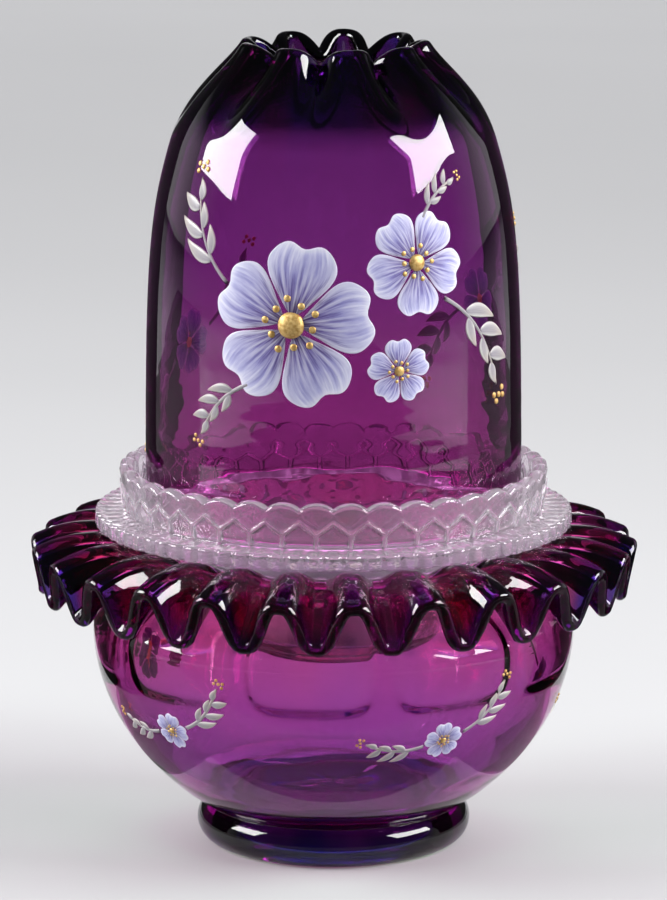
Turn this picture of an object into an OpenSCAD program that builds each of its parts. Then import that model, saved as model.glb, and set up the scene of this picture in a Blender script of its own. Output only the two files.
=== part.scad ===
// Fairy lamp of three loose glass pieces: a domed shade with a crimped mouth, a pressed candle
// insert with an arcaded collar, and a footed bowl whose rim is drawn out into a ruffle.
// A tealight stands in the insert's well.
// Millimetres, +Z up, origin on the table under the middle of the foot. The front faces -Y.

/* [Foot] */
// Outside diameter of the foot ring
foot_d = 60.6; // [54:0.2:68]
// Height of the foot ring
foot_h = 9.4; // [7.5:0.1:12]
// Width of the flat track that the ring stands on
foot_flat = 2.4; // [1.2:0.1:3.6]
// Height of the hollow under the bowl
foot_hollow = 6.4; // [5.4:0.1:7.4]

/* [Bowl] */
// Widest outside diameter of the bowl
bowl_d = 106.2; // [98:0.2:116]
// Height from the foot ring to the widest line of the bowl
belly_rise = 39.6; // [34:0.2:46]
// Height from the widest line to the throat
throat_rise = 13.5; // [11:0.1:18]
// Clear diameter of the throat
throat_d = 80; // [74:0.2:84]
// Wall of the bowl
bowl_wall = 3; // [2.4:0.1:4]
// Glass between the foot ring and the inside floor
bowl_floor = 2; // [1.6:0.1:4]

/* [Ruffle] */
// Outside diameter over the ruffled edge
ruffle_d = 134; // [124:0.2:142]
// Number of crimps around the edge
ruffle_count = 26; // [20:1:28]
// Height of the crests at the edge above the throat
ruffle_crest_rise = 4.6; // [3:0.1:6]
// Drop of the valleys at the edge below the throat
ruffle_valley_drop = 5.6; // [4:0.1:7]
// How far the edge stays back in the valleys from its reach on the crests
ruffle_valley_back = 1.9; // [0:0.1:3]
// Height above the throat that the sheet heads straight up to before it turns out
ruffle_neck = 7.5; // [6:0.1:9]
// Height above the throat that the crests are drawn up to
ruffle_crest_crown = 9.5; // [8:0.1:12]
// Height above the throat that the valleys are drawn up to
ruffle_valley_crown = 5; // [3:0.1:7]
// Thickness of the ruffle at its rounded edge
ruffle_edge = 2.8; // [2:0.1:3.2]
// Turn of the nearest valley from the front, in degrees
ruffle_turn = -2.7; // [-7:0.1:7]

/* [Insert flange] */
// Width of the flange outside the collar
flange_w = 6.7; // [5:0.1:10]
// Thickness of the flange
flange_t = 3.5; // [2.6:0.1:5]
// Number of teeth around the flange
tooth_count = 80; // [60:1:90]
// Depth of the notches between the teeth
tooth_depth = 0.8; // [0.5:0.1:1.2]

/* [Insert collar] */
// Height of the collar above the flange
collar_h = 10; // [8.5:0.1:13]
// Thickness of the collar
collar_wall = 3.2; // [2:0.1:3.8]
// Outward lean of the collar over its height
collar_lean = 1.5; // [0:0.1:2.4]
// Number of arches, and of scallops over them
arch_count = 40; // [32:1:44]
// Height of an arch from its foot to its point
arch_h = 6.2; // [5:0.1:6.8]
// Height of an arch's pointed top
arch_point = 2.7; // [1.6:0.1:3.2]
// Width of an arch's rib
arch_rib = 0.8; // [0.5:0.1:1.1]
// Height of an arch's rib above the collar
arch_relief = 0.5; // [0.3:0.1:0.9]
// Depth of the notches between the scallops
scallop_depth = 1.3; // [0.8:0.1:1.8]

/* [Insert well] */
// Height of the skirt that drops into the throat
skirt_h = 4.4; // [3:0.1:6]
// Number of flutes around the skirt
flute_count = 40; // [30:1:44]
// Depth of a flute
flute_depth = 0.7; // [0.4:0.1:1]
// Depth of the well floor below the ledge
well_depth = 29.5; // [24:0.1:40]
// Length of the straight part of the well
well_straight = 19.4; // [17:0.1:21]
// Glass around and under the well
well_wall = 3; // [2.4:0.1:4]
// Widening of the well towards its mouth
well_draft = 0.5; // [0.2:0.1:0.8]

/* [Shade] */
// Outside diameter of the shade at its foot
shade_d = 82.6; // [76:0.2:90]
// Height of the shade to its highest crests
shade_h = 103.1; // [92:0.1:116]
// Wall of the shade
shade_wall = 3; // [2.4:0.1:3.6]
// Height of the crimped top, from the shoulder to the highest crests
crimp_h = 22.1; // [19:0.1:26]
// Outside diameter of the shoulder under the crimps
shoulder_d = 71; // [67:0.2:75]

/* [Shade mouth] */
// Number of crimps around the mouth
crimp_count = 9; // [6:1:10]
// Outside diameter over the crests of the mouth
mouth_d = 43; // [38:0.2:48]
// Clear diameter between the valleys of the mouth
mouth_clear_d = 26; // [22:0.2:30]
// Drop of the valleys below the crests
crimp_drop = 4.4; // [2:0.1:6]
// Turn of the nearest crest from the front, in degrees
crimp_turn = 11; // [-20:0.5:20]

/* [Tealight] */
// Diameter of the tealight cup
cup_d = 38; // [36:0.2:40]
// Height of the tealight cup
cup_h = 16; // [12:0.2:18]
// Metal of the tealight cup
cup_wall = 0.4; // [0.3:0.05:0.6]
// Height of the wax in the cup
wax_h = 13.4; // [10:0.2:15]
// Diameter of the wick
wick_d = 1.8; // [1.2:0.1:2.4]
// Length of wick above the wax
wick_free = 5; // [3:0.2:8]
// Diameter of the tab under the wick
tab_d = 13; // [10:0.2:18]
// Metal of the tab
tab_t = 0.4; // [0.3:0.05:0.6]
// Height of the tab's neck
tab_neck_h = 3; // [2:0.1:5]

/* [Fits] */
// Gap between the ruffle's crests and the flange that rests on them
seat_gap = 0.25; // [0.1:0.05:0.5]
// Play of the skirt in the throat, a side
skirt_play = 0.8; // [0.5:0.1:1.4]
// Play of the shade inside the collar, a side
shade_play = 1.2; // [0.6:0.1:1.6]
// Play of the tealight in the well, a side
cup_play = 1.3; // [0.8:0.1:2]
// Gap around the wax, the wick and its tab
candle_gap = 0.1; // [0.05:0.05:0.2]

/* [Hidden] */

$fn = 120;
front = -90;
curve_steps = 10;
foot_steps = 4;
bowl_steps = 6;
throat_steps = 4;
floor_steps = 3;
nudge = 0.001;

// Waved sheets: how each one is divided, how square the ruffle's waves are, and how full the
// crimps' waves are in reach and in height
ruffle_parts = 6;
ruffle_rings = 5;
ruffle_square = 0.07;
crimp_parts = 8;
crimp_rings = 7;
crimp_full = [0.1, 0.25];
rim_turns = [45, 0, -45];
// Radius of a flange notch and of a flute, as shares of their pitch
notch_share = 0.28;
flute_share = 0.385;
// Height of the scallops' crowns over the collar's plain top, as a share of the notches' depth
scallop_crown = 0.125;
// Overlap of a waved sheet into the plain wall under it, as a share of the sheet, and its inset there
root = 0.03;
root_inset = 0.08;

// How far along the curves' handles reach, as shares of the way to the next point
bowl_sweep = 0.375;
bowl_lift = 0.128;
bowl_bulge = 0.486;
floor_join = 0.15;
throat_bulge = 0.55;
throat_neck = 0.58;
ruffle_reach = 0.53;
funnel_start = 0.25;
funnel_end = 0.8;
funnel_dip = 0.65;
shade_bulge = 0.69;
shoulder_turn = [0.196, 0.802];
crest_start = 0.484;
crest_reach = [0.765, 0.739];
valley_start = 0.36;
valley_reach = [0.65, 0.8];

// Foot ring
foot_mid_z = foot_h / 2;
foot_round = norm([foot_mid_z, foot_flat / 2]);
foot_mid_r = foot_d / 2 - foot_round;
foot_flat_angle = asin(foot_flat / 2 / foot_round);
foot_hollow_angle = asin((foot_hollow - foot_mid_z) / foot_round);
foot_top_angle = 57;

// Bowl
belly_r = bowl_d / 2;
belly_z = foot_h + belly_rise;
throat_r = throat_d / 2;
throat_z = belly_z + throat_rise;
floor_z = foot_h + bowl_floor;
bowl_start = foot_ring(foot_top_angle);
bowl_outside = [
    bowl_start,
    [lerp(bowl_start[0], belly_r, bowl_sweep), lerp(bowl_start[1], belly_z, bowl_lift)],
    [belly_r, lerp(bowl_start[1], belly_z, bowl_bulge)],
    [belly_r, belly_z]
];
floor_edge = bowl_inside(floor_join);
floor_run = bezier(bowl_outside, floor_join + nudge) - bezier(bowl_outside, floor_join - nudge);
floor_r = floor_edge[0] - (floor_edge[1] - floor_z) * floor_run[0] / floor_run[1];
floor_curve = [[0, floor_z], [floor_r / 2, floor_z], [floor_r, floor_z], floor_edge];

// Ruffle: the middle of its sheet, along a crest and along a valley
ruffle_start = [throat_r + bowl_wall / 2, throat_z];
ruffle_end_r = ruffle_d / 2 - ruffle_edge / 2;
ruffle_crown_r = lerp(ruffle_start[0], ruffle_end_r, ruffle_reach);
ruffle_crest = [
    ruffle_start,
    ruffle_start + [0, ruffle_neck],
    [ruffle_crown_r, throat_z + ruffle_crest_crown],
    [ruffle_end_r, throat_z + ruffle_crest_rise]
];
ruffle_valley = [
    ruffle_start,
    ruffle_start + [0, ruffle_neck],
    [ruffle_crown_r, throat_z + ruffle_valley_crown],
    [ruffle_end_r - ruffle_valley_back, throat_z - ruffle_valley_drop]
];
ruffle_crest_angle = front + ruffle_turn + 180 / ruffle_count;

ruffle_point = function (angle, s)
    let (share = wave(ruffle_count * (angle - ruffle_crest_angle), ruffle_square, 0))
    around(angle, lerp(bezier(ruffle_valley, s), bezier(ruffle_crest, s), share));

ruffle_half = function (s) lerp(bowl_wall / 2 - root_inset, ruffle_edge / 2, max(s, 0));

// Insert
collar_in_r = shade_d / 2 + shade_play;
collar_r = collar_in_r + collar_wall;
flange_r = collar_r + flange_w;
skirt_r = throat_r - skirt_play;
seat_z = seat_gap + max([for (s = [0:1 / ruffle_rings / 4:1]) ruffle_top(s)]);
flange_z = seat_z + flange_t;
collar_z = flange_z + collar_h;
ledge_z = flange_z;
ledge_in_r = shade_d / 2 - shade_wall - shade_play;
well_r = cup_d / 2 + cup_play;
well_z = ledge_z - well_depth;
well_mouth_z = well_z + well_straight;
well_round = well_wall;
skirt_z = seat_z - skirt_h;
funnel = [
    [ledge_in_r, ledge_z],
    [lerp(ledge_in_r, well_r, funnel_start), lerp(ledge_z, well_mouth_z, funnel_dip)],
    [lerp(ledge_in_r, well_r, funnel_end), lerp(ledge_z, well_mouth_z, funnel_dip)],
    [well_r + well_draft, well_mouth_z]
];
arch_pitch = 360 / arch_count;
arch_w = 2 * collar_r * tan(arch_pitch / 2);
lean_angle = atan(collar_lean / collar_h);

// Shade: the middle of its wall up to the shoulder, then along a crest and along a valley
shade_z = ledge_z;
shade_mid_r = (shade_d - shade_wall) / 2;
shade_top_z = shade_z + shade_h;
shoulder = [shoulder_d / 2 - shade_wall / 2, shade_top_z - crimp_h];
shade_side = [
    [shade_mid_r, shade_z],
    [shade_mid_r, lerp(shade_z, shoulder[1], shade_bulge)],
    [lerp(shade_mid_r, shoulder[0], shoulder_turn[0]), lerp(shade_z, shoulder[1], shoulder_turn[1])],
    shoulder
];
shoulder_slope = (shoulder - shade_side[2]) / (shoulder[1] - shade_side[2][1]);
mouth_end = [(mouth_d - shade_wall) / 2, shade_top_z - shade_wall / 2];
valley_end = [(mouth_clear_d + shade_wall) / 2, mouth_end[1] - crimp_drop];
crimp_crest = [
    shoulder,
    shoulder + shoulder_slope * crimp_h * crest_start,
    [lerp(shoulder[0], mouth_end[0], crest_reach[0]), lerp(shoulder[1], mouth_end[1], crest_reach[1])],
    mouth_end
];
crimp_valley = [
    shoulder,
    shoulder + shoulder_slope * crimp_h * valley_start,
    [lerp(shoulder[0], valley_end[0], valley_reach[0]), lerp(shoulder[1], valley_end[1], valley_reach[1])],
    valley_end
];
crimp_crest_angle = front + crimp_turn;

crimp_point = function (angle, s)
    let (turn = crimp_count * (angle - crimp_crest_angle))
    let (valley = bezier(crimp_valley, s), crest = bezier(crimp_crest, s))
    around(angle, [for (i = [0, 1]) lerp(valley[i], crest[i], wave(turn, 0, crimp_full[i]))]);

crimp_half = function (s) shade_wall / 2 - root_inset * (1 - max(s, 0));

// Tealight
cup_z = well_z;
cup_floor_z = cup_z + cup_wall;
wax_r = cup_d / 2 - cup_wall - candle_gap;
wick_r = wick_d / 2;
neck_r = wick_r + candle_gap + tab_t;

function lerp(a, b, s) = a + (b - a) * s;

function bezier(p, s) =
    p[0] * (1 - s)^3 + 3 * p[1] * s * (1 - s)^2 + 3 * p[2] * s^2 * (1 - s) + p[3] * s^3;

function curve(p, steps) = [for (i = [0:steps]) bezier(p, i / steps)];

function backwards(points) = [for (i = [len(points) - 1:-1:0]) points[i]];

function foot_ring(angle) =
    [foot_mid_r + foot_round * cos(angle), foot_mid_z + foot_round * sin(angle)];

function foot_arc(from, to) = [for (i = [0:foot_steps]) foot_ring(lerp(from, to, i / foot_steps))];

// One side of a wall whose middle follows a curve: 1 is to the left of its run, -1 to the right
function wall_side(p, s, side, wall) =
    let (run = bezier(p, s + nudge) - bezier(p, s - nudge))
    bezier(p, s) + side * wall / 2 * [-run[1], run[0]] / norm(run);

function wall_curve(p, side, wall) =
    [for (i = [0:curve_steps]) wall_side(p, i / curve_steps, side, wall)];

// Share of the crest line in a waved sheet: 1 on a crest, 0 in a valley
function wave(angle, square, full) =
    let (swing = (cos(angle) - square * cos(3 * angle)) / (1 - square))
    (1 + swing + full * (1 - cos(2 * angle))) / 2;

function around(angle, p) = [p[0] * cos(angle), p[0] * sin(angle), p[1]];

function sheet_run(point, angle, s) =
    let (run = point(angle, s + nudge) - point(angle, s - nudge))
    run / norm(run);

function sheet_normal(point, angle, s) =
    let (sweep = point(angle + nudge, s) - point(angle - nudge, s))
    let (out = cross(sheet_run(point, angle, s), sweep))
    out / norm(out);

function sheet_face(point, angle, s, offset) =
    point(angle, s) + sheet_normal(point, angle, s) * offset;

function sheet_rim(point, angle, turn, half) =
    point(angle, 1)
    + half * (sheet_normal(point, angle, 1) * sin(turn) + sheet_run(point, angle, 1) * cos(turn));

function sheet_section(point, half, rings, angle) =
    let (steps = [for (i = [0:rings]) lerp(-root, 1, i / rings)])
    concat(
        [for (s = steps) sheet_face(point, angle, s, half(s))],
        [for (turn = rim_turns) sheet_rim(point, angle, turn, half(1))],
        [for (s = backwards(steps)) sheet_face(point, angle, s, -half(s))]
    );

// Height of the ruffle's upper face along a crest, where the flange can reach it
function ruffle_top(s) =
    let (p = sheet_face(ruffle_point, ruffle_crest_angle, s, ruffle_half(s)))
    norm([p[0], p[1]]) < flange_r ? p[2] : throat_z;

// A closed ring of waved sheet with a rounded rim
module waved_ring(point, half, rings, parts, start) {
    sections = [for (i = [0:parts - 1]) sheet_section(point, half, rings, start + 360 * i / parts)];
    size = len(sections[0]);
    polyhedron(
        points = [for (section = sections) each section],
        faces = [
            for (i = [0:parts - 1], j = [0:size - 1])
                let (next = (i + 1) % parts * size, here = i * size, up = (j + 1) % size)
                each [[here + j, next + j, next + up], [here + j, next + up, here + up]]
        ]
    );
}

module base_bowl() {
    outline = concat(
        [[0, foot_hollow]],
        foot_arc(180 - foot_hollow_angle, 270 - foot_flat_angle),
        foot_arc(-90 + foot_flat_angle, foot_top_angle),
        [for (i = [1:bowl_steps]) bezier(bowl_outside, i / bowl_steps)],
        [for (i = [1:throat_steps]) throat_side(0, i / throat_steps)],
        [for (i = [throat_steps:-1:1]) throat_side(bowl_wall, i / throat_steps)],
        [for (i = [bowl_steps:-1:1]) bowl_inside(lerp(floor_join, 1, i / bowl_steps))],
        backwards(curve(floor_curve, floor_steps))
    );
    color([0.46, 0.13, 0.4]) union() {
        rotate_extrude() polygon(outline);
        waved_ring(
            ruffle_point, ruffle_half, ruffle_rings, ruffle_count * ruffle_parts, ruffle_crest_angle
        );
    }
}

// Inside of the bowl, along the share of its outside that it lies under
function bowl_inside(s) = wall_side(bowl_outside, s, 1, 2 * bowl_wall);

// Wall of the bowl between its widest line and the throat, inset from the outside
function throat_side(inset, s) =
    let (out_r = throat_r + bowl_wall)
    bezier([
        [belly_r, belly_z],
        [belly_r, lerp(belly_z, throat_z, throat_bulge)],
        [out_r, lerp(belly_z, throat_z, throat_neck)],
        [out_r, throat_z]
    ], s) - [inset, 0];

module candle_insert() {
    color([0.9, 0.86, 0.92]) difference() {
        union() {
            insert_body();
            for (i = [0:arch_count - 1])
                rotate(front + i * arch_pitch) arch();
        }
        for (i = [0:arch_count - 1])
            rotate(front + i * arch_pitch) scallop_notch();
        for (i = [0:tooth_count - 1])
            rotate(front + (i + 0.5) * 360 / tooth_count) tooth_notch();
        for (i = [0:flute_count - 1])
            rotate(front + i * 360 / flute_count) flute();
    }
}

module insert_body() {
    well_out = well_r + well_wall;
    outline = concat(
        [[0, well_z - well_wall]],
        [for (i = [0:curve_steps]) let (a = lerp(-90, 0, i / curve_steps))
            [well_out - well_round + well_round * cos(a),
             well_z - well_wall + well_round + well_round * sin(a)]],
        [
            [well_out + well_draft, well_mouth_z - well_wall],
            [skirt_r - flute_depth, skirt_z],
            [skirt_r, skirt_z + flute_depth],
            [skirt_r, seat_z],
            [flange_r, seat_z],
            [flange_r, flange_z],
            [collar_r, flange_z],
            [collar_r + collar_lean, collar_z],
            [collar_r + collar_lean - collar_wall, collar_z],
            [collar_in_r, ledge_z]
        ],
        curve(funnel, curve_steps),
        [[well_r, well_z], [0, well_z]]
    );
    rotate_extrude() polygon(outline);
}

// Puts a drawing of the collar's outside, seen from in front, on the leaning collar
module on_collar() {
    translate([collar_r, 0, flange_z])
        rotate([0, lean_angle, 0])
            rotate([90, 0, 90])
                children();
}

// Raised outline of one pointed arch
module arch() {
    on_collar()
        translate([0, 0, -collar_wall / 2])
            linear_extrude(collar_wall / 2 + arch_relief)
                difference() {
                    arch_shape(0);
                    arch_shape(arch_rib);
                }
}

module arch_shape(inset) {
    half = arch_w / 2 - inset;
    foot = inset > 0 ? inset / 2 : -arch_rib / 2;
    polygon([
        [-half, foot],
        [half, foot],
        [half, arch_h - arch_point - inset / 2],
        [0, arch_h - inset],
        [-half, arch_h - arch_point - inset / 2]
    ]);
}

// Notch between two round scallops, over the point of an arch
module scallop_notch() {
    span = arch_w * (collar_r + collar_lean) / collar_r;
    scallop_r = (span^2 / 4 + scallop_depth^2) / (2 * scallop_depth);
    crown = scallop_depth * scallop_crown;
    translate([collar_r + collar_lean - 2 * collar_wall, 0, collar_z + crown])
        rotate([90, 0, 90])
            linear_extrude(4 * collar_wall)
                difference() {
                    translate([-span / 2, -2 * scallop_depth])
                        square([span, 4 * scallop_depth]);
                    for (side = [-1, 1])
                        translate([side * span / 2, -scallop_r])
                            circle(scallop_r);
                }
}

module tooth_notch() {
    notch_r = 2 * PI * flange_r / tooth_count * notch_share;
    translate([flange_r + notch_r - tooth_depth, 0, seat_z - flange_t])
        cylinder(r = notch_r, h = 3 * flange_t);
}

module flute() {
    flute_r = 2 * PI * skirt_r / flute_count * flute_share;
    translate([skirt_r + flute_r - flute_depth, 0, skirt_z - skirt_h])
        cylinder(r = flute_r, h = 2 * skirt_h);
}

module shade() {
    outside = wall_curve(shade_side, -1, shade_wall);
    inside = wall_curve(shade_side, 1, shade_wall);
    color([0.42, 0.12, 0.44]) union() {
        rotate_extrude() polygon(concat(outside, backwards(inside)));
        waved_ring(
            crimp_point, crimp_half, crimp_rings, crimp_count * crimp_parts, crimp_crest_angle
        );
    }
}

module tealight_cup() {
    color([0.8, 0.81, 0.83]) difference() {
        translate([0, 0, cup_z]) cylinder(d = cup_d, h = cup_h);
        translate([0, 0, cup_floor_z]) cylinder(d = cup_d - 2 * cup_wall, h = cup_h);
    }
}

module tealight_wax() {
    tab_top = cup_floor_z + tab_t + candle_gap;
    color([0.95, 0.93, 0.87]) difference() {
        translate([0, 0, cup_floor_z]) cylinder(r = wax_r, h = wax_h);
        translate([0, 0, cup_floor_z - tab_t])
            cylinder(r = tab_d / 2 + candle_gap, h = tab_top - cup_floor_z + tab_t);
        translate([0, 0, cup_floor_z])
            cylinder(r = neck_r + candle_gap, h = tab_neck_h + candle_gap);
        translate([0, 0, cup_floor_z])
            cylinder(r = wick_r + candle_gap, h = 2 * wax_h);
    }
}

module wick_tab() {
    color([0.7, 0.71, 0.74]) difference() {
        translate([0, 0, cup_floor_z]) union() {
            cylinder(d = tab_d, h = tab_t);
            cylinder(r = neck_r, h = tab_neck_h);
        }
        translate([0, 0, cup_floor_z - tab_t])
            cylinder(r = wick_r + candle_gap, h = tab_neck_h + 2 * tab_t);
    }
}

module wick() {
    color([0.86, 0.84, 0.78])
        translate([0, 0, cup_floor_z])
            cylinder(r = wick_r, h = wax_h + wick_free);
}

base_bowl();
candle_insert();
shade();
tealight_cup();
tealight_wax();
wick_tab();
wick();
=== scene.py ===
"""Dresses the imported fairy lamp.

It makes the crimped coloured glass, the pressed clear insert, the tealight and the enamel flowers.
Sizes are in millimetres and repeat the CAD source's, apart from a hair off the crimped rims.
Meshes are in metres, in the CAD frame. Shaders and the stage are in metres too.
Angles are in degrees about +Z, and the front of the lamp faces -Y.
"""

import math

import bmesh
import bpy
import numpy as np
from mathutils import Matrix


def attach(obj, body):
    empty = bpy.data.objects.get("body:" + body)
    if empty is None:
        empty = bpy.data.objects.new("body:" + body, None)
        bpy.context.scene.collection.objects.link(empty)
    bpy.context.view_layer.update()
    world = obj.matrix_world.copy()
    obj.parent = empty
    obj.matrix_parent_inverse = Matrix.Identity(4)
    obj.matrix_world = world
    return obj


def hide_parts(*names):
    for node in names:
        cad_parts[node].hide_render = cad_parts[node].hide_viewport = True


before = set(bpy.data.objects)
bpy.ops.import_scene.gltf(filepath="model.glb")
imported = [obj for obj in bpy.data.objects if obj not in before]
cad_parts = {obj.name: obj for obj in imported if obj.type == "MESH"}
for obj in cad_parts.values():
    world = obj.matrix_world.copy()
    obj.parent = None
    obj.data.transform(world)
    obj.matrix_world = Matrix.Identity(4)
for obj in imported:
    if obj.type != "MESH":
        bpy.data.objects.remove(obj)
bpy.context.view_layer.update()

MM = 0.001
FRONT = -90.0
NUDGE = 0.001

# Foot and bowl
FOOT_R = 30.3
FOOT_H = 9.4
FOOT_FLAT = 2.4
FOOT_HOLLOW = 6.4
FOOT_TOP_ANGLE = 57.0
HOLLOW_RINGS = (0, 9, 18)
WAIST_ROUND = 0.4
WAIST_TURN = 6
BELLY_R = 53.1
BELLY_Z = 49.0
THROAT_R = 40.0
THROAT_Z = 62.5
BOWL_HANDLES = ((0.375, 0.128), (1, 0.486))
THROAT_HANDLES = (0.55, 0.58)
BOWL_WALL = 3.0
BOWL_FLOOR_Z = 11.4
FLOOR_JOIN = 0.15
BOWL_ANGLES = 468

# Panels blown into the inside of the bowl
PANEL_COUNT = 10
PANEL_TURN = -5.5
PANEL_SHARE = 0.47
PANEL_Z = 52.0
PANEL_HALF_H = 12.5
PANEL_DEPTH = 0.7
PANEL_POWER = 5
PANEL_SOFT = 0.84

# Ruffle
RUFFLE_COUNT = 26
RUFFLE_EDGE = 2.8
RUFFLE_END_R = 65.48
RUFFLE_VALLEY_BACK = 1.9
RUFFLE_CROWN_R = 54.27
RUFFLE_NECK = 7.5
RUFFLE_CREST = (9.5, 4.6)
RUFFLE_VALLEY = (5.0, -5.6)
RUFFLE_SQUARE = 0.10
RUFFLE_TURN = -2.7

# Insert
FLANGE_R = 52.4
SEAT_Z = 71.41
FLANGE_Z = 74.91
COLLAR_IN_R = 42.5
COLLAR_R = 45.7
COLLAR_H = 10.0
COLLAR_LEAN = 1.5
SKIRT_R = 39.2
SKIRT_Z = 67.01
LEDGE_IN_R = 37.1
WELL_R = 20.3
WELL_WALL = 3.0
WELL_DRAFT = 0.5
WELL_Z = 45.41
WELL_MOUTH_Z = 64.81
ARCH_COUNT = 40
ARCH_H = 6.2
ARCH_POINT = 2.7
ARCH_RIB = 0.8
ARCH_RELIEF = 0.5
SCALLOP_DEPTH = 1.3
TOOTH_COUNT = 80
TOOTH_DEPTH = 0.8
FLUTE_COUNT = 40
FLUTE_DEPTH = 0.7
FLUTE_HALF = 0.4
NOTCH_HALF = 0.34
FLANGE_ROUND = 0.7
FLANGE_DIP = 0.35
COLLAR_ROUND = 1.0
INSERT_ANGLES = 880

# Shade
SHADE_Z = 74.91
SHADE_MID_R = 39.8
SHADE_WALL = 3.0
SHOULDER = (34.0, 155.91)
MOUTH_END = (20.0, 176.46)
VALLEY_END = (14.5, 172.11)
CRIMP_H = 22.1
CRIMP_COUNT = 9
CRIMP_TURN = 11.0
CRIMP_FULL = (0.1, 0.25)
SHADE_HANDLES = ((0, 0.69), (0.196, 0.802))
CREST_HANDLES = (0.484, 0.765, 0.739)
VALLEY_HANDLES = (0.36, 0.65, 0.8)
SHADE_ANGLES = 486
SIDE_STEPS = 30
SEAT_GAP = 0.05

# Tealight
CUP_R = 19.0
CUP_H = 16.0
CUP_WALL = 0.4
CUP_FLUTES = 36
CUP_FLUTE_DEPTH = 0.08
WAX_TOP_Z = 59.21
WAX_SINK = 0.55
WICK_R = 0.74
WICK_STRAND = 0.15
WICK_TOP_Z = 64.21
WICK_SUNK = 4
CANDLE_ANGLES = 144
WICK_ANGLES = 36


def lerp(a, b, s):
    return a + (b - a) * s


def smooth(low, high, x):
    s = np.clip((np.asarray(x, float) - low) / (high - low), 0, 1)
    return s * s * (3 - 2 * s)


def cosd(angle):
    return np.cos(np.radians(angle))


def sind(angle):
    return np.sin(np.radians(angle))


def unit(v):
    return v / np.linalg.norm(v, axis=-1, keepdims=True)


def bezier(p, s):
    a, b, c, d = (np.asarray(q, float) for q in p)
    return a * (1 - s) ** 3 + 3 * b * s * (1 - s) ** 2 + 3 * c * s**2 * (1 - s) + d * s**3


def curve(p, steps, first=0):
    return [bezier(p, i / steps) for i in range(first, steps + 1)]


def arc(centre, radius, start, end, steps):
    turns = [lerp(start, end, i / steps) for i in range(steps + 1)]
    return [np.array([centre[0] + radius * cosd(a), centre[1] + radius * sind(a)]) for a in turns]


def line(a, b, steps):
    a, b = np.asarray(a, float), np.asarray(b, float)
    return [lerp(a, b, i / steps) for i in range(1, steps)]


def fillet(before, corner, after, radius, steps=4):
    """Points that round off a corner of an outline."""
    before, corner, after = (np.asarray(q, float) for q in (before, corner, after))
    start = corner + unit(before - corner) * radius
    end = corner + unit(after - corner) * radius
    shares = [i / steps for i in range(steps + 1)]
    return [start * (1 - s) ** 2 + corner * 2 * s * (1 - s) + end * s**2 for s in shares]


def around(angle, r, z):
    """Points at these angles, radii and heights."""
    angle, r, z = np.broadcast_arrays(angle, r, z)
    return np.stack([r * cosd(angle), r * sind(angle), z], -1)


def wall_side(p, s, offset):
    """A point beside a curve: a positive offset is to the left of its run."""
    run = unit(bezier(p, s + NUDGE) - bezier(p, s - NUDGE))
    return bezier(p, s) + offset * np.array([-run[1], run[0]])


class Sheet:
    """Crimped glass. Its middle swings between a valley and a crest curve, count times round.

    The drifts turn the crimps (degrees of a crimp, times round, start) and the slack keeps some of
    them from the full swing (times round, start), as on glass that is crimped by hand.
    """

    DRIFTS = ((8, 3, 40), (6, 5, 200))
    SLACK = 0.03
    SLACK_WAVES = ((4, 100), (7, 10))

    def __init__(self, valley, crest, count, crest_angle, square=0.0, full=(0.0, 0.0), uneven=0.0):
        self.valley, self.crest = valley, crest
        self.count, self.crest_angle = count, crest_angle
        self.square, self.full, self.uneven = square, full, uneven

    def share(self, angle, full):
        drift = self.uneven * sum(
            turn * sind(times * angle + start) for turn, times, start in self.DRIFTS
        )
        a = self.count * (angle - self.crest_angle) + drift
        swing = (cosd(a) - self.square * cosd(3 * a)) / (1 - self.square)
        share = (1 + swing + full * (1 - cosd(2 * a))) / 2
        low, high = (
            self.uneven * self.SLACK * (1 + sind(times * angle + start))
            for times, start in self.SLACK_WAVES
        )
        return low + share * (1 - low - high)

    def middle(self, angle, s):
        v, c = bezier(self.valley, s), bezier(self.crest, s)
        r, z = (lerp(v[i], c[i], self.share(angle, full)) for i, full in enumerate(self.full))
        return around(angle, r, z)

    def axes(self, angle, s):
        """Along the sheet, and square to it on its upper or inner face."""
        run = unit(self.middle(angle, s + NUDGE) - self.middle(angle, s - NUDGE))
        sweep = self.middle(angle + NUDGE, s) - self.middle(angle - NUDGE, s)
        return run, unit(np.cross(run, sweep))

    def face(self, angle, s, offset):
        return self.middle(angle, s) + self.axes(angle, s)[1] * offset

    def rim(self, angle, turn, half):
        run, normal = self.axes(angle, 1)
        return self.middle(angle, 1) + half * (normal * sind(turn) + run * cosd(turn))

    def rows(self, angle, half, rings, rim_steps):
        """Rings of points out along the lower face, round the rim and back along the upper face."""
        shares = [i / rings for i in range(rings + 1)]
        turns = [lerp(-90, 90, i / rim_steps) for i in range(1, rim_steps)]
        lower = [self.face(angle, s, -half(s)) for s in shares]
        rim = [self.rim(angle, turn, half(1)) for turn in turns]
        upper = [self.face(angle, s, half(s)) for s in reversed(shares)]
        return lower + rim + upper


def new_object(name, mesh):
    for polygon in mesh.polygons:
        polygon.use_smooth = True
    obj = bpy.data.objects.new(name, mesh)
    bpy.context.scene.collection.objects.link(obj)
    return obj


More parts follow.
